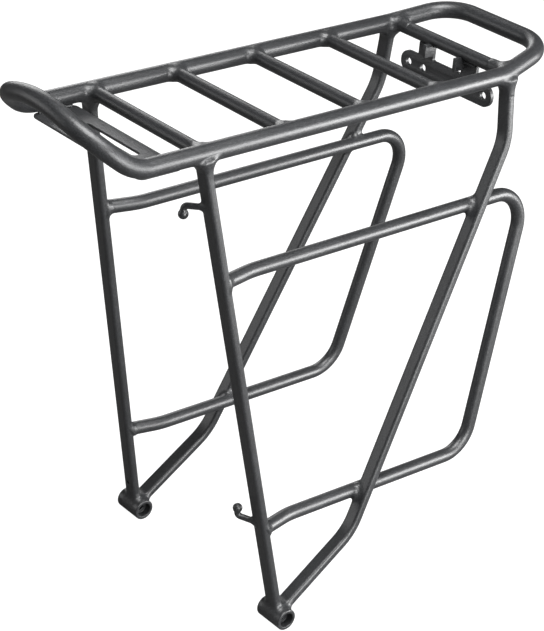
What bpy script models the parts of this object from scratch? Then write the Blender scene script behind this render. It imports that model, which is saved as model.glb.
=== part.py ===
"""Rear pannier rack for a bicycle, welded from light alloy tube and sheet.

Frame: +X points to the front of the bicycle, +Y to its left, +Z up.  The
origin is the middle of the axis through the two dropout bosses.  Metres.
"""
import bpy
import bmesh
from math import atan2, cos, pi, radians, sin, tan
from mathutils import Matrix, Vector

# ---------------------------------------------------------------- sizes
GAP = 0.0003                 # weld gap left between neighbouring pieces

DECK_HEIGHT = 0.378          # rail centre line above the boss axis
RAIL_HALF_SPAN = 0.0625      # rail centre line from the middle plane
DECK_TUBE_R = 0.0065
CROSS_TUBE_R = 0.005
HOOP_TUBE_R = 0.0052

FRONT_BEND_X = 0.200         # the rails turn in and up from here
FRONT_END_X = 0.257
FRONT_END_HALF = 0.0503      # where the turned-in rail meets the end tube
FRONT_RISE = 0.0083
FRONT_BEND_R = 0.020
FRONT_CORNER_R = 0.029

REAR_BEND_X = -0.130         # the rails turn up into the raised rear arch
REAR_CORNER_X = -0.156
REAR_CORNER_HALF = 0.0506
REAR_CORNER_RISE = 0.0212
REAR_CORNER_R = 0.045
REAR_BEND_R = 0.027
REAR_TOP_X = -0.1617
REAR_TOP_RISE = 0.0355
REAR_TOP_R = 0.080

CROSSBAR_FIRST_X = -0.0754
CROSSBAR_PITCH = 0.0707
CROSSBAR_COUNT = 5

BOSS_HALF_SPAN = 0.0880      # middle of each boss from the middle plane
BOSS_R = 0.0084
BOSS_LENGTH = 0.025
BOSS_BORE_R = 0.0032
BOSS_RECESS_R = 0.0058
BOSS_RECESS_DEPTH = 0.006

LEG_TOP_HALF = 0.0632        # leg plane at rail height, from the middle
LEG_WIDTH = 0.012            # across the bicycle
LEG_DEPTH = 0.007            # along the bicycle
LEG_EDGE_R = 0.0026
LEG_TOP_DROP = 0.003         # leg ends this far below the rail centre line
LEG_FOOT_X = -0.0008         # where the leg centre lines meet at the boss
REAR_LEG_TOP_X = -0.0773
FRONT_LEG_TOP_X = 0.2042
FRONT_LEG_UPPER_Z = 0.3282   # upper bend
FRONT_LEG_LOWER_X = 0.0680   # lower bend
FRONT_LEG_LOWER_Z = 0.0468
FRONT_LEG_BEND_R = 0.044
FRONT_LEG_BOW = 0.002        # front leg stands this far outside the leg plane
VENT_R = 0.0014
VENT_HEIGHT = 0.024

HOOP_INSET = 0.006           # hoop centre line inboard of the leg plane
HOOP_FRONT_INSET = 0.0048    # the same at its front corners
HOOP_TOP_Z = 0.2821
HOOP_TOP_FRONT_X = 0.2402
HOOP_LOW_FRONT_X = 0.1926
HOOP_LOW_FRONT_Z = 0.0726
HOOP_LOW_REAR_Z = 0.0766     # height where the lower run meets the leg
HOOP_CORNER_R = 0.026
HOOP_END_RUN = 0.029         # last part, turned out to the rear leg
HOOP_END_R = 0.060

PLATE_FRONT_X = -0.0895
PLATE_DEPTH = 0.0355
PLATE_HALF_SPAN = RAIL_HALF_SPAN - 0.0013   # the plate ends under the middle of the rails
PLATE_THICK = 0.0020
PLATE_CORNER_R = 0.005
SLOT_CENTRE_X = -0.1038
SLOT_WIDTH = 0.0062
SLOT_HALF_SPAN = 0.0300

BRACKET_HALF_SPAN = 0.0484
BRACKET_HEIGHT = 0.0170
BRACKET_CENTRE_DROP = 0.0247  # bracket middle below the rail centre line
BRACKET_THICK = 0.003
BRACKET_HOLE_R = 0.003
BRACKET_HOLE_OUTER = 0.0400
BRACKET_HOLE_INNER = 0.0243
TAB_INNER = 0.0150
TAB_OUTER = 0.0305
WING_INNER = 0.0145          # wings folded back beside the crossbar
WING_REACH = 0.0105          # behind the middle of the sheet
WING_BOTTOM = 0.0127         # above the bracket middle
WING_HEIGHT = 0.0100
WING_THICK = 0.0029

PEG_UPPER_Z = 0.3395
PEG_LOWER_Z = 0.0824
PEG_ROD_R = 0.0023
PEG_REACH_IN = 0.0157        # towards the middle plane
PEG_REACH_BACK = 0.0097
PEG_LEAN = 0.0022
PEG_HOOK = 0.0063
PEG_BEND_R = 0.0032
PEG_BALL_R = 0.0036

FLARE = atan2(BOSS_HALF_SPAN - LEG_TOP_HALF, DECK_HEIGHT)


# ---------------------------------------------------------------- scene
def fresh_scene():
    for thing in list(bpy.data.objects):
        bpy.data.objects.remove(thing, do_unlink=True)
    scene = bpy.context.scene
    parts = bpy.data.collections.new("rear_pannier_rack")
    cutters = bpy.data.collections.new("cutters")
    scene.collection.children.link(parts)
    scene.collection.children.link(cutters)
    return parts, cutters


def finish(name, colour, rough, metal):
    mat = bpy.data.materials.new(name)
    mat.use_nodes = True
    shader = mat.node_tree.nodes["Principled BSDF"]
    shader.inputs["Base Color"].default_value = (*colour, 1.0)
    shader.inputs["Roughness"].default_value = rough
    shader.inputs["Metallic"].default_value = metal
    return mat


def add(name, mesh, collection, mat=None):
    thing = bpy.data.objects.new(name, mesh)
    collection.objects.link(thing)
    if mat is not None:
        mesh.materials.clear()
        mesh.materials.append(mat)
    if collection is CUTTERS:
        thing.hide_render = True
        thing.display_type = "WIRE"
    return thing


# ---------------------------------------------------------------- paths
def rounded(points, radii, closed=False, step=radians(9)):
    """Polyline through the points with each corner turned to its radius."""
    pts = [Vector(p) for p in points]
    count = len(pts)
    path = []
    for i, corner in enumerate(pts):
        ends = not closed and i in (0, count - 1)
        if ends or radii[i] <= 0:
            path.append(corner)
            continue
        back = (pts[i - 1] - corner).normalized()
        ahead = (pts[(i + 1) % count] - corner).normalized()
        half = back.angle(ahead) / 2
        middle = corner + (back + ahead).normalized() * (radii[i] / sin(half))
        start = corner + back * (radii[i] / tan(half)) - middle
        end = corner + ahead * (radii[i] / tan(half)) - middle
        turn = start.angle(end)
        pieces = max(2, round(turn / step))
        for k in range(pieces + 1):
            t = k / pieces
            arm = start * sin((1 - t) * turn) + end * sin(t * turn)
            path.append(middle + arm / sin(turn))
    return path


def tube_mesh(name, path, radius, closed=False, fineness=4):
    """Round solid bar along a path, ends closed flat."""
    curve = bpy.data.curves.new(name, "CURVE")
    curve.dimensions = "3D"
    curve.twist_mode = "MINIMUM"
    spline = curve.splines.new("POLY")
    spline.points.add(len(path) - 1)
    for point, place in zip(spline.points, path):
        point.co = (*place, 1.0)
    spline.use_cyclic_u = closed
    curve.bevel_depth = radius
    curve.bevel_resolution = fineness
    curve.use_fill_caps = not closed
    return mesh_of(name, curve)


def rounded_section(wide, high, radius):
    corners = [(-wide / 2, -high / 2, 0), (wide / 2, -high / 2, 0),
               (wide / 2, high / 2, 0), (-wide / 2, high / 2, 0)]
    return [p[:2] for p in rounded(corners, [radius] * 4, closed=True, step=radians(22.5))]


def swept_mesh(name, path, section):
    """Solid bar of the given section along a path near the local XY plane."""
    ring = bpy.data.curves.new(name + "_section", "CURVE")
    ring.dimensions = "2D"
    spline = ring.splines.new("POLY")
    spline.points.add(len(section) - 1)
    for point, place in zip(spline.points, section):
        point.co = (*place, 0.0, 1.0)
    spline.use_cyclic_u = True
    holder = bpy.data.objects.new(name + "_section", ring)
    bpy.context.scene.collection.objects.link(holder)
    curve = bpy.data.curves.new(name, "CURVE")
    curve.dimensions = "3D"
    curve.twist_mode = "Z_UP"
    curve.bevel_mode = "OBJECT"
    curve.bevel_object = holder
    curve.use_fill_caps = True
    spline = curve.splines.new("POLY")
    spline.points.add(len(path) - 1)
    for point, place in zip(spline.points, path):
        point.co = (*place, 1.0)
    mesh = mesh_of(name, curve)
    bpy.data.objects.remove(holder, do_unlink=True)
    return mesh


def mesh_of(name, curve):
    holder = bpy.data.objects.new(name, curve)
    bpy.context.scene.collection.objects.link(holder)
    bpy.context.view_layer.update()
    depsgraph = bpy.context.evaluated_depsgraph_get()
    mesh = bpy.data.meshes.new_from_object(holder.evaluated_get(depsgraph))
    mesh.name = name
    bpy.data.objects.remove(holder, do_unlink=True)
    bm = bmesh.new()
    bm.from_mesh(mesh)
    bmesh.ops.remove_doubles(bm, verts=bm.verts, dist=1e-6)
    bmesh.ops.recalc_face_normals(bm, faces=bm.faces)
    bm.to_mesh(mesh)
    bm.free()
    return mesh


def sheet_mesh(name, outlines, thick):
    """Flat sheet: the first outline is the edge, the others are holes."""
    curve = bpy.data.curves.new(name, "CURVE")
    curve.dimensions = "2D"
    curve.fill_mode = "BOTH"
    curve.extrude = thick / 2
    for outline in outlines:
        spline = curve.splines.new("POLY")
        spline.points.add(len(outline) - 1)
        for point, place in zip(spline.points, outline):
            point.co = (place[0], place[1], 0.0, 1.0)
        spline.use_cyclic_u = True
    return mesh_of(name, curve)


def circle(x, y, radius, count=24):
    turn = 2 * pi / count
    return [(x + radius * cos(k * turn), y + radius * sin(k * turn)) for k in range(count)]


def slot(x, y, half_length, radius, count=10):
    """Long round-ended hole along local Y."""
    ring = []
    for end, first in ((1, 0.0), (-1, pi)):
        centre = y + end * (half_length - radius)
        for k in range(count + 1):
            angle = first + pi * k / count
            ring.append((x + radius * cos(angle), centre + radius * sin(angle)))
    return ring


def smooth(thing, angle=35):
    mesh = thing.data
    mesh.shade_smooth()
    mesh.set_sharp_from_angle(angle=radians(angle))


def cut(thing, cutter, name):
    mod = thing.modifiers.new(name, "BOOLEAN")
    mod.operation = "DIFFERENCE"
    mod.solver = "EXACT"
    mod.object = cutter


# ---------------------------------------------------------------- deck
def deck_path():
    """Closed centre line of the deck hoop, from the rear middle round."""
    h = DECK_HEIGHT
    half = [((REAR_TOP_X, 0.0, h + REAR_TOP_RISE), REAR_TOP_R),
            ((REAR_CORNER_X, REAR_CORNER_HALF, h + REAR_CORNER_RISE), REAR_CORNER_R),
            ((REAR_BEND_X, RAIL_HALF_SPAN, h), REAR_BEND_R),
            ((FRONT_BEND_X, RAIL_HALF_SPAN, h), FRONT_BEND_R),
            ((FRONT_END_X, FRONT_END_HALF, h + FRONT_RISE), FRONT_CORNER_R)]
    other = [((x, -y, z), r) for (x, y, z), r in reversed(half[1:])]
    points, radii = zip(*(half + other))
    return rounded(points, radii, closed=True)


def make_deck(mat):
    path = deck_path()
    hoop = add("deck_hoop", tube_mesh("deck_hoop", path, DECK_TUBE_R, True), PARTS, mat)
    smooth(hoop)
    room = tube_mesh("deck_room", path, DECK_TUBE_R + GAP, True)
    return add("deck_room", room, CUTTERS)


def make_crossbars(deck_room, mat):
    """Crossbars between the rails; returns the room each of them needs."""
    reach = RAIL_HALF_SPAN - 0.0015
    path = [(0, -reach, 0), (0, reach, 0)]
    rooms = []
    for k in range(CROSSBAR_COUNT):
        name = f"crossbar_{k + 1}"
        bar = add(name, tube_mesh(name, path, CROSS_TUBE_R), PARTS, mat)
        cut(bar, deck_room, "fit_to_rails")
        smooth(bar)
        room = add(name + "_room", tube_mesh(name + "_room", path, CROSS_TUBE_R + GAP), CUTTERS)
        bar.location = room.location = (CROSSBAR_FIRST_X + k * CROSSBAR_PITCH, 0, DECK_HEIGHT)
        rooms.append(room)
    return rooms


# ---------------------------------------------------------------- legs
def on_leg_plane(side, x, z, out=0.0):
    """World point on one side's leg plane, moved outward by out."""
    y = BOSS_HALF_SPAN - z * tan(FLARE) + out * cos(FLARE)
    return Vector((x, side * y, z + out * sin(FLARE)))


def rear_leg_x(z):
    """Where the rear leg's centre line is at a height above the boss axis."""
    return LEG_FOOT_X + (REAR_LEG_TOP_X - LEG_FOOT_X) * z / DECK_HEIGHT


def leg_line(kind):
    """Bend points (x, distance up the leg plane, outward) and radii of a leg."""
    up = 1 / cos(FLARE)
    top = DECK_HEIGHT - LEG_TOP_DROP
    if kind == "rear":
        return [(LEG_FOOT_X, 0, 0), (rear_leg_x(top), top * up, 0)], [0, 0]
    points = [(LEG_FOOT_X, 0, 0), (FRONT_LEG_LOWER_X, FRONT_LEG_LOWER_Z * up, FRONT_LEG_BOW),
              (FRONT_LEG_TOP_X, FRONT_LEG_UPPER_Z * up, FRONT_LEG_BOW),
              (FRONT_LEG_TOP_X, top * up, 0)]
    return points, [0, FRONT_LEG_BEND_R, FRONT_LEG_BEND_R, 0]


def leg_blank(name, kind, side, grow, collection, mat=None):
    points, radii = leg_line(kind)
    path = rounded([(x, up, -side * out) for x, up, out in points], radii)
    section = rounded_section(LEG_DEPTH + 2 * grow, LEG_WIDTH + 2 * grow, LEG_EDGE_R + grow)
    leg = add(name, swept_mesh(name, path, section), collection, mat)
    leg.rotation_euler = (pi / 2 + side * FLARE, 0, 0)
    leg.location = (0, side * BOSS_HALF_SPAN, 0)
    return leg


def make_legs(label, side, deck_room, bar_rooms, hoop_room, boss_room, mat):
    for kind, bar_room in (("rear", bar_rooms[0]), ("front", bar_rooms[-1])):
        name = f"{kind}_leg_{label}"
        leg = leg_blank(name, kind, side, 0.0, PARTS, mat)
        cut(leg, deck_room, "fit_to_rail")
        cut(leg, bar_room, "fit_to_crossbar")
        cut(leg, boss_room, "fit_to_boss")
        if kind == "front":
            cut(leg, hoop_room, "saddles_for_hoop")
        elif side > 0:
            place = on_leg_plane(side, rear_leg_x(VENT_HEIGHT), VENT_HEIGHT)
            path = [place - Vector((0.02, 0, 0)), place - Vector((0.0005, 0, 0))]
            drill = add("vent_drill", tube_mesh("vent_drill", path, VENT_R, fineness=2), CUTTERS)
            cut(leg, drill, "vent")
        smooth(leg)


# ---------------------------------------------------------------- side hoops
def hoop_path(side):
    z1, z2 = HOOP_TOP_Z, HOOP_LOW_REAR_Z
    x1, x2 = rear_leg_x(z1), rear_leg_x(z2)
    points = [on_leg_plane(side, x1, z1),
              on_leg_plane(side, x1 + HOOP_END_RUN, z1, -HOOP_INSET),
              on_leg_plane(side, HOOP_TOP_FRONT_X, z1, -HOOP_FRONT_INSET),
              on_leg_plane(side, HOOP_LOW_FRONT_X, HOOP_LOW_FRONT_Z, -HOOP_FRONT_INSET),
              on_leg_plane(side, x2 + HOOP_END_RUN, z2, -HOOP_INSET),
              on_leg_plane(side, x2, z2)]
    radii = [0, HOOP_END_R, HOOP_CORNER_R, HOOP_CORNER_R, HOOP_END_R, 0]
    return rounded(points, radii)


def make_hoop(label, side, leg_room, mat):
    name = f"side_hoop_{label}"
    path = hoop_path(side)
    hoop = add(name, tube_mesh(name, path, HOOP_TUBE_R), PARTS, mat)
    cut(hoop, leg_room, "fit_to_rear_leg")
    smooth(hoop)
    room = tube_mesh(name + "_room", path, HOOP_TUBE_R + GAP)
    return add(name + "_room", room, CUTTERS)


# ---------------------------------------------------------------- bosses
def make_boss(label, side, mat):
    """Turned boss: bore with a wider recess at each end."""
    half, edge = BOSS_LENGTH / 2, 0.0006
    profile = [(BOSS_BORE_R, half - BOSS_RECESS_DEPTH), (BOSS_RECESS_R, half - BOSS_RECESS_DEPTH),
               (BOSS_RECESS_R, half), (BOSS_R - edge, half), (BOSS_R, half - edge)]
    ring = profile + [(r, -h) for r, h in reversed(profile)]
    bm = bmesh.new()
    verts = [bm.verts.new((r, 0, h)) for r, h in ring]
    for a, b in zip(verts, verts[1:] + verts[:1]):
        bm.edges.new((a, b))
    name = f"dropout_boss_{label}"
    mesh = bpy.data.meshes.new(name)
    bmesh.ops.spin(bm, geom=bm.verts[:] + bm.edges[:], axis=(0, 0, 1), cent=(0, 0, 0),
                   angle=2 * pi, steps=32, use_merge=True)
    bmesh.ops.remove_doubles(bm, verts=bm.verts, dist=1e-6)
    bmesh.ops.recalc_face_normals(bm, faces=bm.faces)
    bm.to_mesh(mesh)
    bm.free()
    boss = add(name, mesh, PARTS, mat)
    boss.rotation_euler = (pi / 2, 0, 0)
    boss.location = (0, side * BOSS_HALF_SPAN, 0)
    smooth(boss)
    path = [(0, side * BOSS_HALF_SPAN - BOSS_LENGTH, 0), (0, side * BOSS_HALF_SPAN + BOSS_LENGTH, 0)]
    room = tube_mesh(name + "_room", path, BOSS_R + GAP, fineness=12)
    return add(name + "_room", room, CUTTERS)


# ---------------------------------------------------------------- sheet pieces
def make_rear_plate(mat):
    back = PLATE_FRONT_X - PLATE_DEPTH
    half = PLATE_HALF_SPAN
    corners = [(PLATE_FRONT_X, -half, 0), (PLATE_FRONT_X, half, 0), (back, half, 0), (back, -half, 0)]
    edge = [p[:2] for p in rounded(corners, [PLATE_CORNER_R] * 4, closed=True)]
    strap = slot(SLOT_CENTRE_X, 0, SLOT_HALF_SPAN, SLOT_WIDTH / 2)
    plate = add("rear_plate", sheet_mesh("rear_plate", [edge, strap], PLATE_THICK), PARTS, mat)
    drop = DECK_TUBE_R + GAP + PLATE_THICK / 2
    plate.location = (0, 0, DECK_HEIGHT - drop)
    smooth(plate)


def bracket_outline():
    """Edge of the stay bracket: long round-ended bar with two upright tabs."""
    half, low = BRACKET_HALF_SPAN, -BRACKET_HEIGHT / 2
    high = BRACKET_HEIGHT / 2
    tab_top = BRACKET_CENTRE_DROP - CROSS_TUBE_R - GAP
    r, inner = BRACKET_HEIGHT / 2 * 0.96, 0.0015
    side = [((TAB_INNER, high, 0), inner), ((TAB_INNER, tab_top, 0), 0.0), ((TAB_OUTER, tab_top, 0), 0.0),
            ((TAB_OUTER, high, 0), inner), ((half, high, 0), r), ((half, low, 0), r)]
    other = [((-x, y, z), q) for (x, y, z), q in reversed(side)]
    points, radii = zip(*(side + other))
    return [p[:2] for p in rounded(points, radii, closed=True)]


def make_bracket(bar_room, mat):
    """Flat bracket hung from the front crossbar by two tabs with folded wings."""
    holes = [circle(s * y, 0, BRACKET_HOLE_R) for s in (1, -1)
             for y in (BRACKET_HOLE_OUTER, BRACKET_HOLE_INNER)]
    mesh = sheet_mesh("stay_bracket", [bracket_outline()] + holes, BRACKET_THICK)
    bracket = add("stay_bracket", mesh, PARTS, mat)
    for s in (1, -1):
        bm = bmesh.new()
        bmesh.ops.create_cube(bm, size=1.0)
        middle = (s * (WING_INNER + WING_THICK / 2), WING_BOTTOM + WING_HEIGHT / 2, -WING_REACH / 2)
        size = (WING_THICK, WING_HEIGHT, WING_REACH)
        bm.transform(Matrix.Translation(middle) @ Matrix.Diagonal((*size, 1.0)))
        wing_mesh = bpy.data.meshes.new("wing")
        bm.to_mesh(wing_mesh)
        bm.free()
        wing = add(f"bracket_wing_{'left' if s > 0 else 'right'}", wing_mesh, CUTTERS)
        wing.parent = bracket
        mod = bracket.modifiers.new("folded_wing", "BOOLEAN")
        mod.operation, mod.solver, mod.object = "UNION", "EXACT", wing
    cut(bracket, bar_room, "fit_to_crossbar")
    x = CROSSBAR_FIRST_X + (CROSSBAR_COUNT - 1) * CROSSBAR_PITCH
    turn = Matrix(((0, 0, 1), (1, 0, 0), (0, 1, 0)))
    bracket.rotation_euler = turn.to_euler()
    bracket.location = (x, 0, DECK_HEIGHT - BRACKET_CENTRE_DROP)
    smooth(bracket)


# ---------------------------------------------------------------- pump pegs
def make_peg(name, height, lean, leg_room, mat):
    """Bent rod with a ball end, on the inner side of the right rear leg."""
    root = on_leg_plane(-1, rear_leg_x(height), height)
    elbow = root + Vector((-PEG_REACH_BACK, PEG_REACH_IN, -lean * PEG_LEAN))
    tip = elbow + Vector((0, 0, -lean * PEG_HOOK))
    path = rounded([root, elbow, tip], [0, PEG_BEND_R, 0], step=radians(15))
    peg = add(name, tube_mesh(name, path, PEG_ROD_R, fineness=3), PARTS, mat)
    bm = bmesh.new()
    bmesh.ops.create_uvsphere(bm, u_segments=20, v_segments=12, radius=PEG_BALL_R)
    ball_mesh = bpy.data.meshes.new("ball")
    bm.to_mesh(ball_mesh)
    bm.free()
    ball = add(name + "_ball", ball_mesh, CUTTERS)
    ball.location = tip
    mod = peg.modifiers.new("ball_end", "BOOLEAN")
    mod.operation, mod.solver, mod.object = "UNION", "EXACT", ball
    cut(peg, leg_room, "fit_to_leg")
    smooth(peg, 50)


# ---------------------------------------------------------------- build
PARTS, CUTTERS = fresh_scene()
COAT = finish("powder_coat", (0.055, 0.057, 0.060), 0.42, 0.15)
COAT_SHEET = finish("powder_coat_sheet", (0.060, 0.062, 0.065), 0.48, 0.15)

deck_room = make_deck(COAT)
bar_rooms = make_crossbars(deck_room, COAT)
rooms = {}
for label, side in (("left", 1), ("right", -1)):
    leg_room = leg_blank(f"rear_leg_{label}_room", "rear", side, GAP, CUTTERS)
    rooms[label] = leg_room
    boss_room = make_boss(label, side, COAT)
    hoop_room = make_hoop(label, side, leg_room, COAT)
    make_legs(label, side, deck_room, bar_rooms, hoop_room, boss_room, COAT)
make_rear_plate(COAT_SHEET)
make_bracket(bar_rooms[-1], COAT_SHEET)
make_peg("pump_peg_upper", PEG_UPPER_Z, 1, rooms["right"], COAT)
make_peg("pump_peg_lower", PEG_LOWER_Z, -1, rooms["right"], COAT)
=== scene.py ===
# %% [markdown]
# # A welded bicycle rear rack
# The rack is bent metal tube: a closed deck hoop with five crossbars, four flat-sided
# legs that stand in two turned bosses, a hoop on each side for bags, a small plate, a
# bracket for the stays, and two pegs for a pump. It is all welded and powder coated.
# The imported model is the fixed frame: every smooth piece made here, apart from the welds
# and beads, takes the place of one of its nodes, in metres, in the same position.

# %% Load the frame
import bpy
import numpy as np
from math import atan2, cos, pi, radians, sin, tan
from mathutils import Matrix, Vector


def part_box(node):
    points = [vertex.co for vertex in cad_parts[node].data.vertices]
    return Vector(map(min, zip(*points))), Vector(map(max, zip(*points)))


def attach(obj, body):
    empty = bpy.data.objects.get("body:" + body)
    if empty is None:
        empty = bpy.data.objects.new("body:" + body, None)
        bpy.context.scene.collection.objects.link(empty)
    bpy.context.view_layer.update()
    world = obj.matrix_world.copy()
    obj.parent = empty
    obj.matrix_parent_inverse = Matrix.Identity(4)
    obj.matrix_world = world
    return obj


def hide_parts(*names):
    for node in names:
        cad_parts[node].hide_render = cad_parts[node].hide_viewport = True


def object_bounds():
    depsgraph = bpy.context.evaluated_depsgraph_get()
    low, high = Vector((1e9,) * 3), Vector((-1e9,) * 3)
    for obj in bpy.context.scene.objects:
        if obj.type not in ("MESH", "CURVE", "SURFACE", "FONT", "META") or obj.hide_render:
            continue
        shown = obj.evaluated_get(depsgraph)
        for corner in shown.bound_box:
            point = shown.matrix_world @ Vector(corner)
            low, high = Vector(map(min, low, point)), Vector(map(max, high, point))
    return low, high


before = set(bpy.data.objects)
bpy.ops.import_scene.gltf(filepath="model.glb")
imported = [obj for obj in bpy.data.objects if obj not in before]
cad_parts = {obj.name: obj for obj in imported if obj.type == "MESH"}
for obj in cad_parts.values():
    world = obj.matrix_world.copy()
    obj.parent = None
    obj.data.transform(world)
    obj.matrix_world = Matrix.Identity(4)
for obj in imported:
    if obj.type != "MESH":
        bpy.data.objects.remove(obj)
cad_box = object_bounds()
print("nodes:", len(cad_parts), "box (m):", [round(c, 4) for c in (*cad_box[0], *cad_box[1])])

# %% [markdown]
# ## Where things are
# The main positions come from the boxes of the nodes: the crossbars give the height of
# the rails and the spacing, the bosses give the width of the stance. Tube sizes, bends,
# the places of the legs, hoops and pegs, and the welds are written down as numbers.

# %% Main places
def middle(node):
    """Centre of a node's box: half the sum of its two corners."""
    low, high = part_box(node)
    return (low + high) / 2


CROSS_R = 0.005                          # radii of the three round tubes
DECK_R = 0.0065
HOOP_R = 0.0052
DECK_Z = middle("crossbar_2").z
BAR_X = [middle(f"crossbar_{k}").x for k in (1, 2, 3, 4, 5)]
RAIL_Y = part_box("deck_hoop")[1].y - DECK_R
BOSS_Y = middle("dropout_boss_left").y
SIDES = {"left": 1, "right": -1}
LEG_TOP_Y = 0.0632                       # leg plane at rail height
FLARE = atan2(BOSS_Y - LEG_TOP_Y, DECK_Z)
print(f"rails at z {DECK_Z:.4f}, y {RAIL_Y:.4f}; bosses at y {BOSS_Y:.4f}; legs lean {FLARE:.4f} rad")

# %% [markdown]
# ## Bending a tube
# A tube is a round profile carried along a path. The path is a chain of straight runs
# whose corners are turned to the radius of the bending tool. At each point of the path a
# ring is set square to it; rows of rings make a grid, and a grid is easy to turn into
# faces. The ring keeps facing one fixed direction, so the tube never twists.

# %% Paths with turned corners
def bent(points, radii, closed=False, step=radians(3)):
    """Each corner becomes an arc about the point at radius / sin(half angle) along its bisector."""
    pts = np.array(points, float)
    path = []
    for i, corner in enumerate(pts):
        if radii[i] <= 0 or (not closed and i in (0, len(pts) - 1)):
            path.append(corner[None])
            continue
        back, ahead = pts[i - 1] - corner, pts[(i + 1) % len(pts)] - corner
        back, ahead = back / np.linalg.norm(back), ahead / np.linalg.norm(ahead)
        half = np.arccos(np.clip(back @ ahead, -1, 1)) / 2
        bisector = (back + ahead) / np.linalg.norm(back + ahead)
        centre = corner + bisector * radii[i] / sin(half)
        start = corner + back * radii[i] / tan(half) - centre
        end = corner + ahead * radii[i] / tan(half) - centre
        turn = pi - 2 * half
        t = np.linspace(0, 1, max(3, round(turn / step) + 1))[:, None]
        path.append(centre + (start * np.sin((1 - t) * turn) + end * np.sin(t * turn)) / sin(turn))
    return np.concatenate(path)


# %% Profiles and sweeping
def round_ring(radius, count=48):
    """Circle: radius times (cos, sin) of evenly spaced angles."""
    angle = np.arange(count) * 2 * pi / count
    return radius * np.stack([np.cos(angle), np.sin(angle)], 1)


def boxy_ring(deep, wide, radius, corner=9, flat=5):
    """Rectangle with round corners: four quarter circles joined by points along the flats."""
    quarter = np.linspace(0, pi / 2, corner)
    parts = []
    for k, (sx, sy) in enumerate([(1, 1), (-1, 1), (-1, -1), (1, -1)]):
        angle = quarter + k * pi / 2
        centre = np.array([sx * (deep / 2 - radius), sy * (wide / 2 - radius)])
        parts.append(centre + radius * np.stack([np.cos(angle), np.sin(angle)], 1))
    out = []
    for here, after in zip(parts, parts[1:] + parts[:1]):
        t = np.linspace(0, 1, flat + 2)[1:-1, None]
        out += [here, here[-1] * (1 - t) + after[0] * t]
    return np.concatenate(out)


def carry(path, ring, facing, closed=False, swell=None):
    """Ring carried along the path: point + a * side + b * up, square to the mean direction there."""
    step = np.roll(path, -1, 0) - path
    step /= np.linalg.norm(step, axis=1, keepdims=True)
    if not closed:
        step[-1] = step[-2]
    before = np.roll(step, 1, 0)
    if not closed:
        before[0] = step[0]
    along = step + before
    along /= np.linalg.norm(along, axis=1, keepdims=True)
    side = np.cross(np.broadcast_to(np.asarray(facing, float), along.shape), along)
    side /= np.linalg.norm(side, axis=1, keepdims=True)
    up = np.cross(along, side)
    rings = ring[None] if swell is None else ring[None] * np.asarray(swell)[:, None, None]
    return path[:, None] + rings[..., :1] * side[:, None] + rings[..., 1:] * up[:, None]


# %% [markdown]
# ## From a grid to a piece
# One helper makes every mesh. It joins neighbouring rows with four-sided faces, closes
# the two ends with a fan, and measures the signed volume: if that is negative the shape
# is inside out and every face is turned over.

# %% Skin a grid
def skin(name, grids, finish, node=None, crease=40):
    """Closed shells from (grid, closed) pairs; volume is the sum of p0 . (p1 x p2) / 6."""
    points, faces, first = [], [], 0
    for grid, closed in grids:
        rows, cols = grid.shape[:2]
        index = np.arange(rows * cols).reshape(rows, cols)
        upper = np.roll(index, -1, 0) if closed else index[1:]
        lower = index if closed else index[:-1]
        quads = np.stack([lower, np.roll(lower, -1, 1), np.roll(upper, -1, 1), upper], -1).reshape(-1, 4)
        places, fans = grid.reshape(-1, 3), np.zeros((0, 3), int)
        if not closed:
            places = np.concatenate([places, grid[:1].mean(1), grid[-1:].mean(1)])
            start, last = index[0], index[-1]
            low_fan = np.stack([np.roll(start, -1), start, np.full(cols, rows * cols)], -1)
            high_fan = np.stack([last, np.roll(last, -1), np.full(cols, rows * cols + 1)], -1)
            fans = np.concatenate([low_fan, high_fan])
        tris = np.concatenate([quads[:, [0, 1, 2]], quads[:, [0, 2, 3]], fans])
        a, b, c = (places[tris[:, k]] - places.mean(0) for k in range(3))
        if np.einsum("ij,ij->i", a, np.cross(b, c)).sum() < 0:
            quads, fans = quads[:, ::-1], fans[:, ::-1]
        points.append(places)
        faces += (quads + first).tolist() + (fans + first).tolist()
        first += len(places)
    mesh = bpy.data.meshes.new(name)
    mesh.from_pydata(np.concatenate(points).tolist(), [], faces)
    mesh.validate()
    mesh.shade_smooth()
    mesh.set_sharp_from_angle(angle=radians(crease))
    return place_piece(name, mesh, finish, node)


def place_piece(name, mesh, finish, node):
    """Link the piece at the origin, let it ride on the rack, and hide the node it stands for."""
    piece = bpy.data.objects.new(name, mesh)
    bpy.context.scene.collection.objects.link(piece)
    mesh.materials.clear()
    mesh.materials.append(finish)
    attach(piece, "root")
    if node:
        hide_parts(node)
    return piece


# %% [markdown]
# ## The powder coat
# Powder is sprayed on dry and melts in an oven, so it dries with fine pebbles, like
# orange peel, and tiny lighter grains. Both are small, so they are noise on the object's
# own coordinates. The group gives the colour, the roughness and the height of the
# pebbles; every finish places it with its own values.

# %% Powder coat group
def new_socket(group, name, way, kind, value=None):
    """One named input or output of a node group, with its starting value."""
    socket = group.interface.new_socket(name=name, in_out=way, socket_type=kind)
    if value is not None:
        socket.default_value = value


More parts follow.
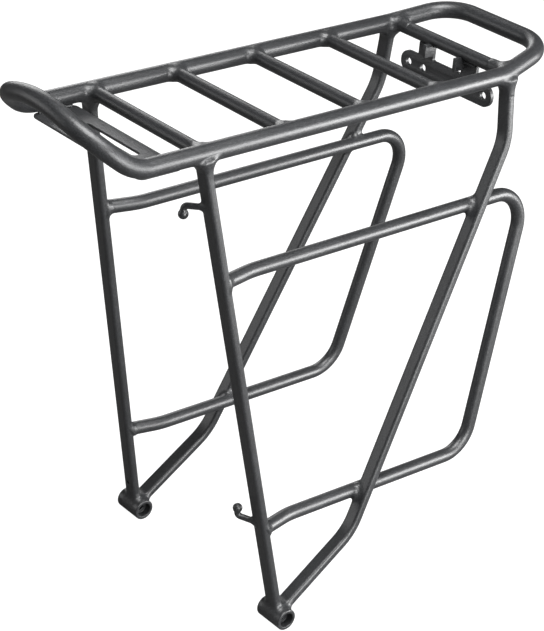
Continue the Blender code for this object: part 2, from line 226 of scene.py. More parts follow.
def powder_group():
    """Grain, pebbles and slow drift of tone: three noises at three sizes."""
    group = bpy.data.node_groups.new("powder_coat_grain", "ShaderNodeTree")
    new_socket(group, "Base tone", "INPUT", "NodeSocketColor", (0.05, 0.05, 0.05, 1))
    new_socket(group, "Grain tone", "INPUT", "NodeSocketColor", (0.12, 0.12, 0.12, 1))
    new_socket(group, "Grain per metre", "INPUT", "NodeSocketFloat", 1500.0)
    new_socket(group, "Pebbles per metre", "INPUT", "NodeSocketFloat", 700.0)
    new_socket(group, "Roughness", "INPUT", "NodeSocketFloat", 0.4)
    new_socket(group, "Colour", "OUTPUT", "NodeSocketColor")
    new_socket(group, "Roughness", "OUTPUT", "NodeSocketFloat")
    new_socket(group, "Height", "OUTPUT", "NodeSocketFloat")
    nodes, links = group.nodes, group.links
    given, out = nodes.new("NodeGroupInput"), nodes.new("NodeGroupOutput")
    where = nodes.new("ShaderNodeTexCoord")

    def noise(scale, detail):
        node = nodes.new("ShaderNodeTexNoise")
        node.inputs["Detail"].default_value = detail
        links.new(where.outputs["Object"], node.inputs["Vector"])
        if isinstance(scale, str):
            links.new(given.outputs[scale], node.inputs["Scale"])
        else:
            node.inputs["Scale"].default_value = scale
        return node.outputs["Fac"]

    def spread(value, low, high, to_low, to_high):
        node = nodes.new("ShaderNodeMapRange")
        for key, number in (("From Min", low), ("From Max", high), ("To Min", to_low), ("To Max", to_high)):
            node.inputs[key].default_value = number
        links.new(value, node.inputs["Value"])
        return node.outputs["Result"]

    def sums(kind, a, b):
        node = nodes.new("ShaderNodeMath")
        node.operation = kind
        links.new(a, node.inputs[0])
        if isinstance(b, float):
            node.inputs[1].default_value = b
        else:
            links.new(b, node.inputs[1])
        return node.outputs[0]

    grain, pebble, drift = noise("Grain per metre", 3.0), noise("Pebbles per metre", 2.0), noise(28.0, 2.0)
    mask = sums("MULTIPLY", spread(grain, 0.46, 0.70, 0.0, 1.0), spread(drift, 0.3, 0.7, 0.55, 1.0))
    tone = nodes.new("ShaderNodeMix")
    tone.data_type = "RGBA"
    links.new(mask, tone.inputs["Factor"])
    links.new(given.outputs["Base tone"], tone.inputs[6])
    links.new(given.outputs["Grain tone"], tone.inputs[7])
    links.new(tone.outputs[2], out.inputs["Colour"])
    rough = sums("ADD", given.outputs["Roughness"], spread(grain, 0.3, 0.7, -0.05, 0.06))
    links.new(sums("ADD", rough, spread(drift, 0.3, 0.7, -0.02, 0.02)), out.inputs["Roughness"])
    links.new(sums("ADD", sums("MULTIPLY", grain, 0.35), pebble), out.inputs["Height"])
    return group


GRAIN = powder_group()
print("powder group:", [s.name for s in GRAIN.interface.items_tree])


# %% Finishes
def coated(name, base, grain, rough, pebble_height, grain_size=1500.0, pebble_size=700.0):
    """Satin paint over the grain group; metal and coat stay plain numbers on the shader."""
    finish = bpy.data.materials.new(name)
    finish.use_nodes = True
    nodes, links = finish.node_tree.nodes, finish.node_tree.links
    shader = nodes["Principled BSDF"]
    powder = nodes.new("ShaderNodeGroup")
    powder.node_tree = GRAIN
    powder.inputs["Base tone"].default_value = (*base, 1)
    powder.inputs["Grain tone"].default_value = (*grain, 1)
    powder.inputs["Grain per metre"].default_value = grain_size
    powder.inputs["Pebbles per metre"].default_value = pebble_size
    powder.inputs["Roughness"].default_value = rough
    bump = nodes.new("ShaderNodeBump")
    bump.inputs["Strength"].default_value = 0.6
    bump.inputs["Distance"].default_value = pebble_height
    links.new(powder.outputs["Height"], bump.inputs["Height"])
    links.new(powder.outputs["Colour"], shader.inputs["Base Color"])
    links.new(powder.outputs["Roughness"], shader.inputs["Roughness"])
    links.new(bump.outputs["Normal"], shader.inputs["Normal"])
    shader.inputs["Metallic"].default_value = 0.1
    shader.inputs["Specular IOR Level"].default_value = 0.7
    return finish


TUBE_COAT = coated("tube_powder_coat", (0.0095, 0.0100, 0.0110), (0.046, 0.048, 0.051), 0.40, 0.00018)
WELD_COAT = coated("weld_powder_coat", (0.0105, 0.0110, 0.0120), (0.048, 0.050, 0.053), 0.42, 0.00020)
SHEET_COAT = coated("sheet_powder_coat", (0.0105, 0.0110, 0.0120), (0.060, 0.062, 0.065), 0.44, 0.00032,
                    1900.0, 900.0)
print("finishes:", TUBE_COAT.name, WELD_COAT.name, SHEET_COAT.name)

# %% [markdown]
# ## The deck hoop
# One tube goes all the way round: two straight rails, a front end that rises a little,
# and a rear arch that is bent up. Only half is written down; the other half is its
# mirror, so the hoop is true on both sides.

# %% Deck hoop
half_deck = [((-0.1617, 0.0, DECK_Z + 0.0355), 0.080),       # top of the rear arch
             ((-0.156, 0.0506, DECK_Z + 0.0212), 0.045),     # rear corner
             ((-0.130, RAIL_Y, DECK_Z), 0.027),              # rail turns up
             ((0.200, RAIL_Y, DECK_Z), 0.020),               # rail turns in
             ((0.257, 0.0503, DECK_Z + 0.0083), 0.029)]      # front corner
mirror_deck = [((x, -y, z), r) for (x, y, z), r in reversed(half_deck[1:])]
deck_path = bent(*zip(*(half_deck + mirror_deck)), closed=True, step=radians(2.5))
skin("deck_tube", [(carry(deck_path, round_ring(DECK_R), (0, 0, 1), True), True)],
            TUBE_COAT, "deck_hoop")
print("deck path points:", len(deck_path))

# %% [markdown]
# ## The crossbars
# Five straight bars stop inside the rails. Their ends are hidden there, so they need no
# fitting; the welds cover the line where two tubes meet.

# %% Crossbars
def straight(a, b, count=9):
    """Points evenly spaced from a to b."""
    t = np.linspace(0, 1, count)[:, None]
    return np.array(a, float) * (1 - t) + np.array(b, float) * t


bar_paths = {}
for number, x in enumerate(BAR_X, 1):
    reach = RAIL_Y - 0.0035
    bar_paths[number] = straight((x, -reach, DECK_Z), (x, reach, DECK_Z))
    skin(f"crossbar_tube_{number}", [(carry(bar_paths[number], round_ring(CROSS_R), (0, 0, 1)), False)],
         TUBE_COAT, f"crossbar_{number}")
print("crossbars at x:", [round(x, 4) for x in BAR_X])

# %% [markdown]
# ## The legs
# Each pair of legs lies in a plane that leans outwards towards the boss. A leg is a tube
# pressed to a flat-sided section, wider across the bicycle than along it. The rear leg
# is straight; the front leg leaves the boss low, bends, climbs and bends again to meet
# the rail square. The last few millimetres narrow so that the end hides in the rail.

# %% Leg planes and paths
LEG_DEEP, LEG_WIDE, LEG_EDGE = 0.007, 0.012, 0.0026
FOOT_X, REAR_TOP_X, FRONT_TOP_X = -0.0008, -0.0773, 0.2042
LEG_TOP_Z = DECK_Z - 0.003
LOW_BEND_X, LOW_BEND_Z, HIGH_BEND_Z = 0.0680, 0.0468, 0.3282
LEG_BEND_R, LEG_BOW = 0.044, 0.002       # bend radius, and how far the front leg stands out


def leg_plane(side, x, z, out=0.0):
    """A point of the leaning plane of one side, moved square to it by out."""
    return (x, side * (BOSS_Y - z * tan(FLARE) + out * cos(FLARE)), z + out * sin(FLARE))


def outward(side):
    """Unit direction square to a leg plane: across by the cosine of the lean, up by its sine."""
    return np.array([0.0, side * cos(FLARE), sin(FLARE)])


def rear_leg_x(z):
    """The rear leg is straight, so its x changes in proportion to the height."""
    return FOOT_X + (REAR_TOP_X - FOOT_X) * z / DECK_Z


def leg_path(kind, side):
    """Straight from foot to rail, or foot, low bend, high bend and rail with turned corners."""
    foot = leg_plane(side, FOOT_X, 0)
    if kind == "rear":
        return straight(foot, leg_plane(side, rear_leg_x(LEG_TOP_Z), LEG_TOP_Z), 25)
    corners = [foot, leg_plane(side, LOW_BEND_X, LOW_BEND_Z, LEG_BOW),
               leg_plane(side, FRONT_TOP_X, HIGH_BEND_Z, LEG_BOW),
               leg_plane(side, FRONT_TOP_X, LEG_TOP_Z)]
    return bent(corners, [0, LEG_BEND_R, LEG_BEND_R, 0])


def end_narrowed(path, length=0.004, least=0.86):
    """Size along the path: 1, falling to the least over the last length before the top."""
    away = np.linalg.norm(path - path[-1], axis=1)
    return np.where(away < length, least + (1 - least) * away / length, 1.0)


# %% Make the legs
def split_near_ends(path, spacing=0.0015, length=0.006):
    """More points in the last stretch before the top, so that the narrowing is smooth."""
    run = path[-2] - path[-1]
    run /= np.linalg.norm(run)
    extra = path[-1] + run * np.arange(length, 0, -spacing)[:, None]
    return np.concatenate([path[:-1], extra, path[-1:]])


FOOT_HIDDEN = 0.0066                     # the leg starts this far up, inside the boss's wall
leg_paths = {}
for label, side in SIDES.items():
    for kind in ("rear", "front"):
        path = split_near_ends(leg_path(kind, side))
        leg_paths[kind, side] = path
        ring = boxy_ring(LEG_DEEP, LEG_WIDE, LEG_EDGE)
        upward = (path[1] - path[0]) / np.linalg.norm(path[1] - path[0])
        shown = path.copy()
        shown[0] = path[0] + upward * FOOT_HIDDEN
        grid = carry(shown, ring, outward(side), swell=end_narrowed(path))
        skin(f"{kind}_leg_tube_{label}", [(grid, False)], TUBE_COAT, f"{kind}_leg_{label}")
print("front leg points:", len(leg_paths["front", 1]))

# %% [markdown]
# ## The vent
# A closed tube needs a small hole, or the hot gas of welding would blow out the last
# seam. It is drilled low in the back of the left rear leg. A drill is a thin cylinder:
# its shape is taken away from the leg and the cylinder is thrown away.

# %% Drill the vent
VENT_R, VENT_Z, VENT_SIDES = 0.0014, 0.024, 24
left_leg = bpy.data.objects["rear_leg_tube_left"]
vent = np.array(leg_plane(1, rear_leg_x(VENT_Z), VENT_Z))
drill_path = straight(vent - (0.012, 0, 0), vent - (0.0008, 0, 0), 3)
rings = carry(drill_path, round_ring(VENT_R, VENT_SIDES), (0, 0, 1))
number_of = np.arange(3 * VENT_SIDES).reshape(3, VENT_SIDES)
wall = np.stack([number_of[:-1], np.roll(number_of[:-1], -1, 1),
                 np.roll(number_of[1:], -1, 1), number_of[1:]], -1).reshape(-1, 4)
drill_mesh = bpy.data.meshes.new("drill")
drill_mesh.from_pydata(rings.reshape(-1, 3).tolist(), [],
                       wall.tolist() + [number_of[0, ::-1].tolist(), number_of[2].tolist()])
drill = bpy.data.objects.new("drill", drill_mesh)
bpy.context.scene.collection.objects.link(drill)
cut = left_leg.modifiers.new("vent", "BOOLEAN")
cut.operation, cut.solver, cut.object = "DIFFERENCE", "EXACT", drill
bpy.context.view_layer.update()
drilled = bpy.data.meshes.new_from_object(left_leg.evaluated_get(bpy.context.evaluated_depsgraph_get()))
left_leg.modifiers.clear()
print("leg faces before and after the drill:", len(left_leg.data.polygons), len(drilled.polygons))
left_leg.data = drilled
drilled.set_sharp_from_angle(angle=radians(40))
bpy.data.objects.remove(drill, do_unlink=True)

# %% [markdown]
# ## The side hoops
# A side hoop starts on the rear leg, runs forward just inside the front leg, turns down
# behind the wheel's spokes and comes back. Its first and last stretch turns outwards to
# reach the rear leg.

# %% Side hoops
def hoop_path(side):
    """Six corners on the leg plane, the four inner ones turned: two wide, two tight."""
    top, low = 0.2821, 0.0766
    x1, x2, run, inset, front = rear_leg_x(top), rear_leg_x(low), 0.029, -0.006, -0.0048
    corners = [leg_plane(side, x1, top), leg_plane(side, x1 + run, top, inset),
               leg_plane(side, 0.2402, top, front), leg_plane(side, 0.1926, 0.0726, front),
               leg_plane(side, x2 + run, low, inset), leg_plane(side, x2, low)]
    return bent(corners, [0, 0.060, 0.026, 0.026, 0.060, 0])


hoop_paths = {side: hoop_path(side) for side in SIDES.values()}
for label, side in SIDES.items():
    path = hoop_paths[side].copy()
    for end, inner in ((0, 1), (-1, -2)):
        run = path[inner] - path[end]
        path[end] = path[end] + run / np.linalg.norm(run) * 0.001
    skin(f"side_hoop_tube_{label}", [(carry(path, round_ring(HOOP_R), outward(side)), False)],
         TUBE_COAT, f"side_hoop_{label}")
print("side hoop spans x:", round(float(path[:, 0].min()), 4), round(float(path[:, 0].max()), 4))

# %% [markdown]
# ## The bosses
# The foot of each side is a turned boss with a bore for the bolt and a wider recess at
# each end. Its outline is drawn as radius and height, with small round edges, and is
# spun about the axis of the bore.

# %% Bosses
BOSS_R, BOSS_HALF, BORE_R, RECESS_R, RECESS_DEEP = 0.0084, 0.0125, 0.0032, 0.0058, 0.006


def eased(corners, radii):
    """Closed outline with each corner turned to its radius."""
    flat = [(a, b, 0.0) for a, b in corners]
    return bent(flat, radii, closed=True, step=radians(15))[:, :2]


def spun(outline, centre, count=96):
    """Outline (radius, height) turned about a line along Y through the centre."""
    angle = np.arange(count) * 2 * pi / count
    r, h = outline[:, 0], outline[:, 1]
    x = centre[0] + np.cos(angle)[:, None] * r
    y = centre[1] + np.broadcast_to(h, x.shape)
    z = centre[2] + np.sin(angle)[:, None] * r
    return np.stack([x, y, z], -1)


floor_h = BOSS_HALF - RECESS_DEEP
half_turned = [((BORE_R, floor_h), 0.0003), ((RECESS_R, floor_h), 0.0003),
               ((RECESS_R, BOSS_HALF), 0.0005), ((BOSS_R, BOSS_HALF), 0.0009)]
turned = half_turned + [((r, -h), q) for (r, h), q in reversed(half_turned)]
boss_outline = eased(*zip(*turned))
for label, side in SIDES.items():
    skin(f"dropout_boss_turned_{label}", [(spun(boss_outline, (0.0, side * BOSS_Y, 0.0)), True)],
         TUBE_COAT, f"dropout_boss_{label}", crease=50)
print("boss outline points:", len(boss_outline))

# %% [markdown]
# ## The rear plate
# A thin pressed plate is welded under the rails behind the first crossbar, with a long
# slot for a strap. A plate with one hole is a ring: the same cross profile, a flat strip
# with round edges, is carried round from the slot's edge to the plate's edge.

# %% Rear plate
def spaced(ring, count):
    """The same closed outline with evenly spaced points, by distance round it."""
    loop = np.concatenate([ring, ring[:1]])
    far = np.concatenate([[0], np.cumsum(np.linalg.norm(np.diff(loop, axis=0), axis=1))])
    want = np.arange(count) / count * far[-1]
    return np.stack([np.interp(want, far, loop[:, k]) for k in range(2)], 1)


def square_out(ring):
    """Outward direction at each point: the direction along the outline turned by a quarter."""
    along = np.roll(ring, -1, 0) - np.roll(ring, 1, 0)
    out = np.stack([along[:, 1], -along[:, 0]], 1)
    out /= np.linalg.norm(out, axis=1, keepdims=True)
    area = (ring[:, 0] * np.roll(ring[:, 1], -1) - np.roll(ring[:, 0], -1) * ring[:, 1]).sum()
    return out if area > 0 else -out


def holed_plate(edge, hole, z, thick, soft=0.0005):
    """Rows: round edge of the hole, across the top, round outer edge, back underneath."""
    edge_out, hole_out = square_out(edge), square_out(hole)
    rows, bend = [], np.linspace(0, pi / 2, 5)
    for a in bend:
        rows.append((hole + hole_out * soft * (1 - sin(a)), -thick / 2 + soft * (1 - cos(a))))
    for a in bend:
        rows.append((hole + hole_out * soft * (1 - cos(a)), thick / 2 - soft * (1 - sin(a))))
    for t in (0.03, 0.2, 0.4, 0.6, 0.8, 0.97):
        rows.append(((hole + hole_out * soft) * (1 - t) + (edge - edge_out * soft) * t, thick / 2))
    for a in bend:
        rows.append((edge - edge_out * soft * (1 - sin(a)), thick / 2 - soft * (1 - cos(a))))
    for a in bend:
        rows.append((edge - edge_out * soft * (1 - cos(a)), -thick / 2 + soft * (1 - sin(a))))
    for t in (0.97, 0.8, 0.6, 0.4, 0.2, 0.03):
        rows.append(((hole + hole_out * soft) * (1 - t) + (edge - edge_out * soft) * t, -thick / 2))
    grid = [np.concatenate([flat, np.full((len(flat), 1), z + h)], 1) for flat, h in rows]
    return np.stack(grid)


plate_low, plate_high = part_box("rear_plate")
deep, wide = plate_high.x - plate_low.x, plate_high.y - plate_low.y
edge = boxy_ring(deep, wide, 0.005) + np.array([(plate_low.x + plate_high.x) / 2, 0])
strap_slot = boxy_ring(0.0062, 0.060, 0.00305) + np.array([-0.1038, 0])
plate_grid = holed_plate(spaced(edge, 240), spaced(strap_slot, 240),
                         (plate_low.z + plate_high.z) / 2, plate_high.z - plate_low.z)
skin("rear_plate_pressed", [(plate_grid, True)], SHEET_COAT, "rear_plate", 50)
print(f"plate {deep * 1000:.1f} x {wide * 1000:.1f} mm")

# %% [markdown]
# ## The stay bracket
# The bracket is cut from sheet, so its faces are truly flat and the fixed model already
# has them. What it lacks is the soft edge that paint gives. A copy is merged, because
# the model's triangles are loose, and a small bevel rounds the edges.

# %% Stay bracket
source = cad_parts["stay_bracket"]
bracket_mesh = source.data.copy()
bracket_mesh.name = "stay_bracket_sheet"
bracket = place_piece("stay_bracket_sheet", bracket_mesh, SHEET_COAT, "stay_bracket")
merge = bracket.modifiers.new("merge", "WELD")
merge.merge_threshold = 1e-6
soften = bracket.modifiers.new("painted_edge", "BEVEL")
soften.width, soften.segments = 0.00045, 3
soften.limit_method, soften.angle_limit = "ANGLE", radians(40)
bpy.context.view_layer.update()
baked = bpy.data.meshes.new_from_object(bracket.evaluated_get(bpy.context.evaluated_depsgraph_get()))
bracket.modifiers.clear()
bracket.data = baked
baked.shade_smooth()
baked.set_sharp_from_angle(angle=radians(35))
print("bracket faces:", len(baked.polygons))

# %% [markdown]
# ## The pump pegs
# Two little hooks on the inside of the right rear leg hold a pump: a bent rod whose end
# is swelled to a ball. It is one sweep. Near the tip the radius follows a sphere, so
# the rod and the ball are a single skin.

# %% Pump pegs
PEG_R, BALL_R = 0.0023, 0.0036
PEG_BACK, PEG_IN, PEG_LEAN, PEG_HOOK, PEG_BEND_R = 0.0097, 0.0157, 0.0022, 0.0063, 0.0032
peg_roots = {"upper": (0.3395, 1), "lower": (0.0824, -1)}
peg_paths = {}
for label, (height, lean) in peg_roots.items():
    root = np.array(leg_plane(-1, rear_leg_x(height), height))
    elbow = root + np.array([-PEG_BACK, PEG_IN, -lean * PEG_LEAN])
    tip = elbow + np.array([0, 0, -lean * PEG_HOOK])
    rod = bent([root, elbow, tip], [0, PEG_BEND_R, 0], step=radians(6))
    peg_paths[label] = rod
    down = (tip - elbow) / np.linalg.norm(tip - elbow)
    beyond = -np.cos(np.linspace(0.30 * pi, 0.985 * pi, 22)) * BALL_R
    path = np.concatenate([rod[:-1], tip + down * beyond[:, None]])
    path = path[np.concatenate([[True], np.linalg.norm(np.diff(path, axis=0), axis=1) > 1e-5])]
    from_tip = (path - tip) @ down
    near = np.linalg.norm(path - tip, axis=1) < BALL_R * 1.001
    ball = np.where(near, np.sqrt(np.maximum(BALL_R ** 2 - from_tip ** 2, 0)), 0)
    radius = np.where(from_tip > 0, ball, np.maximum(PEG_R, ball))
    ring_way = np.cross(elbow - root, down)
    grid = carry(path, round_ring(1.0, 32), ring_way / np.linalg.norm(ring_way), swell=radius)
    skin(f"pump_peg_rod_{label}", [(grid, False)], TUBE_COAT, f"pump_peg_{label}", crease=60)
print("pegs at z:", [v[0] for v in peg_roots.values()])

# %% [markdown]
# ## Welds
# A weld is metal that melted and ran into the corner between two tubes. Its surface is
# found with distances: each tube has a distance function, which is negative inside it,
# and a smooth minimum of two of them swells where both are small, which is a fillet.
# From a point inside the joint, a ray is sent in every direction of a sphere and the
# place where the melted distance is zero is found by halving. The result lies a hair
# inside the plain tubes, so it shows only where it stands proud.

# %% Distances
def round_bar(path, radius):
    """Distance to the nearest stretch of the path, less the radius."""

    def distance(p):
        best = np.full(p.shape[:-1], 1e9)
        for a, b in zip(path[:-1], path[1:]):
            run = b - a
            t = np.clip(((p - a) @ run) / (run @ run), 0, 1)
            best = np.minimum(best, np.linalg.norm(p - a - t[..., None] * run, axis=-1))
        return best - radius
    return distance


def flat_bar(a, b, out):
    """Distance to a leg: how far outside its rounded rectangle and its two ends a point is."""
    a, b = np.array(a, float), np.array(b, float)
    along = (b - a) / np.linalg.norm(b - a)
    deep = np.cross(out, along)
    deep /= np.linalg.norm(deep)
    wide = np.cross(along, deep)
    centre, half = (a + b) / 2, np.linalg.norm(b - a) / 2

    def distance(p):
        q = p - centre
        outside = np.stack([np.abs(q @ along) - half + LEG_EDGE,
                            np.abs(q @ deep) - LEG_DEEP / 2 + LEG_EDGE,
                            np.abs(q @ wide) - LEG_WIDE / 2 + LEG_EDGE], -1)
        return (np.linalg.norm(np.maximum(outside, 0), axis=-1)
                + np.minimum(outside.max(-1), 0) - LEG_EDGE)
    return distance


def branch(distance, centre, towards, clear=0.0, full=0.0050):
    """A bar that starts flat at the centre; its share of the fillet grows from clear to full."""
    way = np.asarray(towards, float) / np.linalg.norm(towards)

    def cut_bar(p):
        t = (p - centre) @ way
        share = np.clip((t - clear) / (full - clear), 0, 1)
        return np.maximum(distance(p), -t), share * share * (3 - 2 * share)
    return cut_bar


def melted(members, melts, p):
    """Smooth minimum: min(a, b) less share * h squared / (4 * melt), h = melt - |a - b|, uneven."""
    total = members[0](p)
    wave = 1 + 0.05 * np.sin(p @ np.array([1310.0, 240, 170])) * np.sin(p @ np.array([150.0, 1240, 900]))
    for member, melt in zip(members[1:], melts):
        other = member(p)
        other, share = other if isinstance(other, tuple) else (other, 1.0)
        h = np.maximum(melt - np.abs(total - other), 0)
        total = np.minimum(total, other) - share * wave * h * h / (4 * melt)
    return total


# %% Send out the rays
HAIR = 0.00004                           # the weld's plain parts lie this far inside the tubes


def first_surface(start, rays, reach, members, melts, from_t=0.0):
    """First crossing along each ray: a coarse march, then halving."""
    def inside(t):
        return melted(members, melts, start + rays * t[..., None]) + HAIR < 0
    shape = rays.shape[:-1]
    low, found = np.full(shape, from_t), np.zeros(shape, bool)
    high = np.full(shape, reach)
    for t in np.linspace(from_t, reach, 30)[1:]:
        now = np.full(shape, t)
        open_here = ~inside(now) & ~found
        high = np.where(open_here, now, high)
        found |= open_here
        low = np.where(found, low, now)
    for _ in range(14):
        half = (low + high) / 2
        keep = inside(half)
        low, high = np.where(keep & found, half, low), np.where(keep | ~found, high, half)
    return np.where(found, (low + high) / 2, reach)


def weld(name, centre, pole, members, melts, reach, rows=84, around=108):
    """Star-shaped knuckle: distance from the centre as a function of two angles."""
    centre = np.asarray(centre, float)
    pole = np.asarray(pole, float) / np.linalg.norm(pole)
    spare = np.array([0.0, 0, 1]) if abs(pole[2]) < 0.8 else np.array([1.0, 0, 0])
    u = np.cross(spare, pole)
    u /= np.linalg.norm(u)
    v = np.cross(pole, u)
    tilt = (np.arange(rows) + 0.5)[:, None] * pi / rows
    turn = np.arange(around)[None] * 2 * pi / around
    rays = (np.sin(tilt) * np.cos(turn))[..., None] * u + (np.sin(tilt) * np.sin(turn))[..., None] * v
    rays = rays + (np.cos(tilt) * np.ones_like(turn))[..., None] * pole
    grid = centre + rays * first_surface(centre, rays, reach, members, melts)[..., None]
    return skin(name, [(grid, False)], WELD_COAT, crease=75)


def near(path, place, within=0.03):
    """The stretch of a path close to a place."""
    loop = np.concatenate([path, path[:1]]) if path is deck_path else path
    a, b = loop[:-1], loop[1:]
    run = b - a
    t = np.clip(((place - a) * run).sum(1) / (run * run).sum(1), 0, 1)[:, None]
    hits = np.flatnonzero(np.linalg.norm(a + run * t - place, axis=1) < within)
    return loop[hits[0]:hits[-1] + 2]


# %% [markdown]
# ## Welds of the deck
# Every crossbar end has a fillet all round. At the first and last crossbar the leg comes
# up into the same corner, and its fillet is the largest on the rack: it flares out along
# the rail.

# %% Deck welds
WELD_BAR, WELD_LEG, WELD_HOOP, WELD_PEG, WELD_FOOT = 0.0055, 0.0095, 0.0050, 0.0032, 0.0050


def rail_at(x, side):
    """The point of the rail's centre line at an x."""
    line = deck_path[deck_path[:, 1] * side > 0.045]
    line = line[np.argsort(line[:, 0])]
    return np.array([x, np.interp(x, line[:, 0], line[:, 1]), np.interp(x, line[:, 0], line[:, 2])])


for label, side in SIDES.items():
    for number, x in enumerate(BAR_X, 1):
        centre = rail_at(x, side)
        middle_of_bar = np.array([x, side * 0.03, DECK_Z])
        inner = branch(round_bar([centre, middle_of_bar], CROSS_R), centre, middle_of_bar - centre)
        members, melts, reach = [round_bar(near(deck_path, centre, 0.02), DECK_R), inner], [WELD_BAR], 0.0135
        if number in (1, 5):
            path = leg_paths["rear" if number == 1 else "front", side]
            top = path[-1]
            lower = path[np.linalg.norm(path - top, axis=1) > 0.024][-1]
            leg_top = top + np.array([0, 0, 0.0025])
            members.append(branch(flat_bar(lower, leg_top, outward(side)), centre, lower - top, 0.0, 0.0045))
            melts, reach = [WELD_BAR, WELD_LEG], 0.019
        rail_way = near(deck_path, centre, 0.02)
        weld(f"weld_crossbar_{number}_{label}", centre, rail_way[-1] - rail_way[0], members, melts, reach)
print("deck welds done")

# %% [markdown]
# ## Welds of the hoops and pegs
# A hoop's two ends butt on the rear leg. Where it passes the front leg the two tubes lie
# side by side, so the centre of that weld is half way between them, found as the
# closest pair of points.

# %% Hoop and peg welds
def dense(path, spacing=0.0008):
    """The same path with a point at least every spacing."""
    far = np.concatenate([[0], np.cumsum(np.linalg.norm(np.diff(path, axis=0), axis=1))])
    want = np.arange(0, far[-1], spacing)
    return np.stack([np.interp(want, far, path[:, k]) for k in range(3)], 1)


def leg_stretch(kind, side, place, within=0.022):
    """A leg's straight piece round a place, as a flat bar, and its direction."""
    line = dense(leg_paths[kind, side])
    close = line[np.linalg.norm(line - place, axis=1) < within]
    return flat_bar(close[0], close[-1], outward(side)), close[-1] - close[0]


for label, side in SIDES.items():
    hoop = hoop_paths[side]
    for end, name in ((hoop[0], "top"), (hoop[-1], "low")):
        leg, way = leg_stretch("rear", side, end)
        weld(f"weld_hoop_end_{name}_{label}", end, way,
             [leg, branch(round_bar(near(hoop, end, 0.025), HOOP_R), end, hoop[len(hoop) // 2] - end,
                          0.0, 0.0025)], [WELD_HOOP], 0.0135)
    hoop_line, leg_line = dense(hoop), dense(leg_paths["front", side])
    for name, pick in (("top", hoop_line[:, 2] > 0.2), ("low", hoop_line[:, 2] < 0.1)):
        run = hoop_line[pick]
        apart = np.linalg.norm(run[:, None] - leg_line[None], axis=2)
        i, j = np.unravel_index(apart.argmin(), apart.shape)
        centre = (run[i] + leg_line[j]) / 2
        leg, _ = leg_stretch("front", side, centre)
        weld(f"weld_hoop_crossing_{name}_{label}", centre, run[min(i + 3, len(run) - 1)] - run[max(i - 3, 0)],
             [leg, round_bar(near(hoop, run[i], 0.025), HOOP_R)], [WELD_HOOP], 0.0145)
        print(f"{label} {name} crossing: centre lines {apart.min() * 1000:.1f} mm apart")
for label, rod in peg_paths.items():
    leg, way = leg_stretch("rear", -1, rod[0])
    weld(f"weld_pump_peg_{label}", rod[0], way, [leg, branch(round_bar(rod, PEG_R), rod[0],
                                                           rod[1] - rod[0], 0.0, 0.003)], [WELD_PEG], 0.0115)

# %% [markdown]
# ## Welds at the feet
# Two legs run into each boss. The bore has to stay open, so this weld is a sleeve: for
# each angle round the axis and each place along it, a ray goes outwards from a circle
# inside the boss's wall.

# %% Foot welds
def sleeve(name, side, rows=56, around=400, inner=0.0068, reach=0.0175, half=0.0112):
    """Radius from the boss's axis as a function of angle and place along it, closed inside."""
    feet = [flat_bar(leg_paths[kind, side][0], dense(leg_paths[kind, side])[30], outward(side))
            for kind in ("rear", "front")]

    def boss(p):
        """Larger of the distances outside the boss's round wall and outside its ends."""
        ring = np.hypot(p[..., 0], p[..., 2]) - BOSS_R
        cap = np.abs(p[..., 1] - side * BOSS_Y) - BOSS_HALF
        return np.maximum(ring, cap)
    along = np.linspace(-half, half, rows)[:, None]
    turn = np.arange(around)[None] * 2 * pi / around
    rays = np.stack([np.cos(turn) + 0 * along, 0 * turn + 0 * along, np.sin(turn) + 0 * along], -1)
    start = np.stack([0 * turn + 0 * along, 0 * turn + side * BOSS_Y + along, 0 * turn + 0 * along], -1)
    out = first_surface(start, rays, reach, [boss, *feet], [WELD_FOOT, WELD_FOOT], inner)
    outer = start + rays * out[..., None]
    back = start[::-1] + rays[::-1] * inner
    return skin(name, [(np.concatenate([outer, back]), True)], WELD_COAT, crease=75)


for label, side in SIDES.items():
    sleeve(f"weld_foot_{label}", side)

# %% [markdown]
# ## Short beads
# The plate and the bracket are thin, so they are held by short beads: a thread of metal
# with scalloped ripples and round ends, laid in the corner.

# %% Beads
def bead(name, a, b, radius, ripple=0.08):
    """Sphere-ended thread: radius times sqrt(1 - end fall squared), with a sine ripple along it."""
    a, b = np.array(a, float), np.array(b, float)
    length = np.linalg.norm(b - a)
    s = np.linspace(0, 1, 70)
    far = np.minimum(s, 1 - s) * length
    fall = np.sqrt(np.clip(1 - (1 - np.minimum(far / (1.6 * radius), 1)) ** 2, 0.0004, 1))
    swell = fall * (1 + ripple * np.sin(2 * pi * s * length / 0.0017))
    grid = carry(a + (b - a) * s[:, None], round_ring(radius, 20), (0, 0, 1), swell=swell)
    return skin(name, [(grid, False)], WELD_COAT, crease=75)


bead_r = 0.0015
for label, side in SIDES.items():
    y, z = side * (RAIL_Y - 0.0038), plate_high.z + 0.0006
    bead(f"weld_plate_top_{label}", (plate_low.x + 0.004, y, z), (plate_high.x - 0.003, y, z), bead_r)
    bar_x, bar_z = BAR_X[4], DECK_Z - CROSS_R
    for place, dx in (("front", 0.0021), ("back", -0.0021)):
        bead(f"weld_bracket_{place}_{label}", (bar_x + dx, side * 0.0160, bar_z - 0.0003),
             (bar_x + dx, side * 0.0295, bar_z - 0.0003), 0.0013)
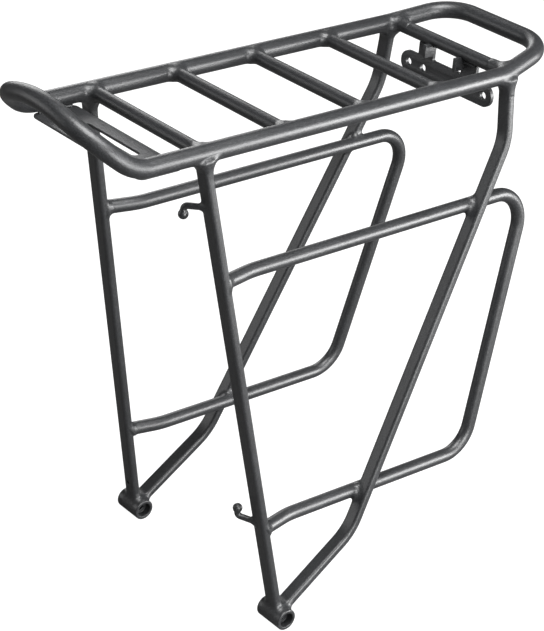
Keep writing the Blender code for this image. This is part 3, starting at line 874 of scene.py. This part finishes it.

# %% [markdown]
# ## Floor, light and camera
# The rack stands on a floor at the lowest point of the bosses. Black paint is drawn by
# what it reflects, and a white floor would lift every lower side to grey. So the
# floor's own paint is dark, and a glow that only camera rays meet makes it look white.
# That is a studio trick, with a price: the floor shows no shadow, and the rack does not
# reflect the white that the camera sees. Past the floor's edge the dim world shows grey.
# Five soft panels do the lighting. The overhead one draws the highlights on the upper
# sides, the front and side ones light the outer faces, a weak one at the left lifts the
# back of the front legs, and one behind lights the far sides. Their places and powers
# were set for this one view.

# %% Floor
floor_z = cad_box[0].z
reach = 6.0
floor_mesh = bpy.data.meshes.new("floor")
floor_mesh.from_pydata([(-reach, -reach, floor_z), (reach, -reach, floor_z), (reach, reach, floor_z),
                        (-reach, reach, floor_z)], [], [(0, 1, 2, 3)])
floor = bpy.data.objects.new("floor", floor_mesh)
bpy.context.scene.collection.objects.link(floor)
floor_finish = bpy.data.materials.new("floor_paper")
floor_finish.use_nodes = True
floor_nodes, floor_links = floor_finish.node_tree.nodes, floor_finish.node_tree.links
paper = floor_nodes.new("ShaderNodeTexNoise")
paper.inputs["Scale"].default_value = 3.0
tint = floor_nodes.new("ShaderNodeMix")
tint.data_type = "RGBA"
tint.inputs[6].default_value = (0.13, 0.13, 0.13, 1)
tint.inputs[7].default_value = (0.15, 0.15, 0.15, 1)
place = floor_nodes.new("ShaderNodeTexCoord")
floor_links.new(place.outputs["Object"], paper.inputs["Vector"])
floor_links.new(paper.outputs["Fac"], tint.inputs["Factor"])
floor_links.new(tint.outputs[2], floor_nodes["Principled BSDF"].inputs["Base Color"])
glow = floor_nodes.new("ShaderNodeLightPath")
floor_nodes["Principled BSDF"].inputs["Emission Color"].default_value = (1, 1, 1, 1)
floor_links.new(glow.outputs["Is Camera Ray"], floor_nodes["Principled BSDF"].inputs["Emission Strength"])
floor_nodes["Principled BSDF"].inputs["Roughness"].default_value = 0.9
floor_nodes["Principled BSDF"].inputs["Specular IOR Level"].default_value = 0.1
floor_mesh.materials.append(floor_finish)
print("floor at z", round(floor_z, 4))


# %% Light
def panel(name, place, target, size, power):
    """Soft square light turned to face a target."""
    lamp = bpy.data.lights.new(name, "AREA")
    lamp.shape, lamp.size, lamp.energy = "SQUARE", size, power
    holder = bpy.data.objects.new(name, lamp)
    bpy.context.scene.collection.objects.link(holder)
    holder.location = place
    holder.rotation_euler = (Vector(target) - Vector(place)).to_track_quat("-Z", "Y").to_euler()
    return holder


world = bpy.data.worlds.new("studio")
bpy.context.scene.world = world
world.use_nodes = True
world.node_tree.nodes["Background"].inputs["Color"].default_value = (1.0, 1.0, 1.0, 1)
world.node_tree.nodes["Background"].inputs["Strength"].default_value = 0.10
bpy.context.scene.view_settings.view_transform = "Standard"
panel("overhead_panel", (-0.1, -0.4, 1.55), (0.05, 0.0, 0.3), 0.8, 34.0)
panel("front_panel", (0.0, -1.9, 0.70), (0.05, 0.0, 0.25), 1.0, 50.0)
panel("side_panel", (1.7, -1.6, 0.35), (0.05, 0.0, 0.15), 1.2, 110.0)
panel("left_panel", (-1.5, 1.35, 0.55), (0.05, 0.0, 0.2), 1.0, 7.5)
panel("back_panel", (0.9, 1.9, 1.1), (0.05, 0.0, 0.2), 1.0, 16.0)

# %% Camera
yaw, pitch, roll = radians(47.962), radians(-27.854), radians(4.655)
aim = Vector((cos(pitch) * cos(yaw), cos(pitch) * sin(yaw), sin(pitch)))
level = Vector((sin(yaw), -cos(yaw), 0.0))
upright = level.cross(aim)
right = level * cos(roll) + upright * sin(roll)
up = upright * cos(roll) - level * sin(roll)
lens = bpy.data.cameras.new("camera")
lens.lens_unit, lens.sensor_fit, lens.sensor_width = "MILLIMETERS", "HORIZONTAL", 36.0
lens.lens = 134.70
lens.shift_x, lens.shift_y = -0.00092, 0.00092
lens.clip_start, lens.clip_end = 0.05, 100
camera = bpy.data.objects.new("camera", lens)
bpy.context.scene.collection.objects.link(camera)
turned_to = Matrix((right, up, -aim)).transposed().to_4x4()
camera.matrix_world = Matrix.Translation((-0.84206, -0.99145, 0.90031)) @ turned_to
bpy.context.scene.camera = camera
print("camera looks along", [round(c, 3) for c in aim])
